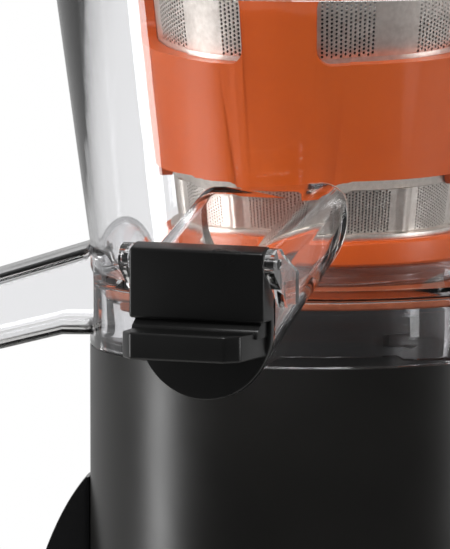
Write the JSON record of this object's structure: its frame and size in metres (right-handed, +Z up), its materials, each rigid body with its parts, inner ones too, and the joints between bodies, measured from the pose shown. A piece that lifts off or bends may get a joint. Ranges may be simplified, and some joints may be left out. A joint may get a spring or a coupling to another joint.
{
  "type": "slow juicer",
  "caption": "Vertical slow juicer with a black cylindrical motor base, clear bowl with capped spout and pulp chute, steel sieve in an orange frame, lid and pusher.",
  "frame": {"origin": "centre of the footprint box, on the surface that the feet stand on", "axes": "+Z up along the screw's axis, -Y the way the juice spout points, the pulp chute towards -X"},
  "size_m": [0.205, 0.2362, 0.4008],
  "materials": {
    "satin_black": "satin moulded",
    "gloss_black": "polished moulded",
    "clear_plastic": "clear polished copolyester",
    "orange_plastic": "satin moulded",
    "orange_silicone": "moulded silicone",
    "grey_silicone": "moulded silicone",
    "black_rubber": "matt",
    "sieve_steel": "etched and electropolished stainless",
    "shaft_steel": "ground steel",
    "screw_steel": "zinc plated",
    "electrical_steel": "varnished laminations",
    "copper_wire": "enamelled winding",
    "cast_alloy": "die cast",
    "bronze": "sintered",
    "white_nylon": "moulded nylon"
  },
  "bodies": {
    "base": {"base_housing": "satin_black", "bottom_cover": "satin_black", "bayonet_neck": "satin_black", "rotary_switch": "satin_black", "rear_housing": "gloss_black", "foot_front_left": "black_rubber", "foot_front_right": "black_rubber", "foot_rear_left": "black_rubber", "foot_rear_right": "black_rubber", "shaft_seal": "black_rubber", "cord_gland": "black_rubber", "countershaft": "shaft_steel", "cover_screw_front_left": "screw_steel", "cover_screw_front_right": "screw_steel", "cover_screw_rear_left": "screw_steel", "cover_screw_rear_right": "screw_steel", "stator_core": "electrical_steel", "winding_lower": "copper_wire", "winding_upper": "copper_wire", "motor_bell_lower": "cast_alloy", "motor_bell_upper": "cast_alloy", "gearbox_housing": "cast_alloy", "gearbox_lid": "cast_alloy", "motor_bearing_lower": "bronze", "motor_bearing_upper": "bronze", "output_bush": "bronze"},
    "rotor": {"rotor_core": "electrical_steel", "rotor_shaft": "shaft_steel", "motor_pinion": "shaft_steel"},
    "intermediate": {"intermediate_gear": "white_nylon", "intermediate_pinion": "shaft_steel"},
    "drive": {"output_gear": "white_nylon", "drive_shaft": "shaft_steel"},
    "knob": {"control_knob": "gloss_black", "knob_spindle": "white_nylon"},
    "bowl": {"juice_bowl": "clear_plastic", "cap_hinge_pin": "shaft_steel", "bowl_shaft_seal": "grey_silicone", "skirt_gasket": "orange_silicone"},
    "cap": {"juice_cap": "satin_black", "cap_seal": "grey_silicone"},
    "strainer": {"strainer_sieve": "sieve_steel", "strainer_base_ring": "orange_plastic", "strainer_frame": "orange_plastic"},
    "screw": {"pressing_screw": "gloss_black", "screw_drive_socket": "shaft_steel"},
    "lid": {"lid": "clear_plastic", "feed_tube": "clear_plastic", "lid_bush": "white_nylon", "lid_seal": "grey_silicone"},
    "pusher": {"pusher": "satin_black"}
  },
  "joints": [
    {"name": "drive_spin", "type": "hinge", "parent": "base", "child": "drive", "pos_m": [0.00853, 0.0211, 0.168], "axis": [0, 0, 1], "continuous": true},
    {"name": "intermediate_spin", "type": "hinge", "parent": "base", "child": "intermediate", "pos_m": [0.00853, 0.0511, 0.168], "axis": [0, 0, 1], "continuous": true},
    {"name": "rotor_spin", "type": "hinge", "parent": "base", "child": "rotor", "pos_m": [0.00853, 0.0211, 0.168], "axis": [0, 0, 1], "continuous": true},
    {"name": "knob_turn", "type": "hinge", "parent": "base", "child": "knob", "pos_m": [0.00853, -0.0559, 0.072], "axis": [0, -1, 0], "range_deg": [-45, 45]},
    {"name": "bowl_lift", "type": "slide", "parent": "base", "child": "bowl", "axis": [0, 0, 1], "range_m": [0, 0.12]},
    {"name": "cap_hinge", "type": "hinge", "parent": "bowl", "child": "cap", "pos_m": [0.02153, -0.0994, 0.2055], "axis": [-1, 0, 0], "range_deg": [0, 95]},
    {"name": "strainer_lift", "type": "slide", "parent": "bowl", "child": "strainer", "axis": [0, 0, 1], "range_m": [0, 0.12]},
    {"name": "screw_spin", "type": "hinge", "parent": "strainer", "child": "screw", "pos_m": [0.00853, 0.0211, 0.168], "axis": [0, 0, 1], "continuous": true},
    {"name": "lid_lift", "type": "slide", "parent": "strainer", "child": "lid", "axis": [0, 0, 1], "range_m": [0, 0.1]},
    {"name": "pusher_slide", "type": "slide", "parent": "lid", "child": "pusher", "axis": [0, 0, 1], "range_m": [0, 0.08]}
  ],
  "couplings": [
    {"joint": "intermediate_spin", "follows": "drive_spin", "ratio": -3.8},
    {"joint": "rotor_spin", "follows": "drive_spin", "ratio": 19},
    {"joint": "screw_spin", "follows": "drive_spin", "ratio": 1}
  ]
}
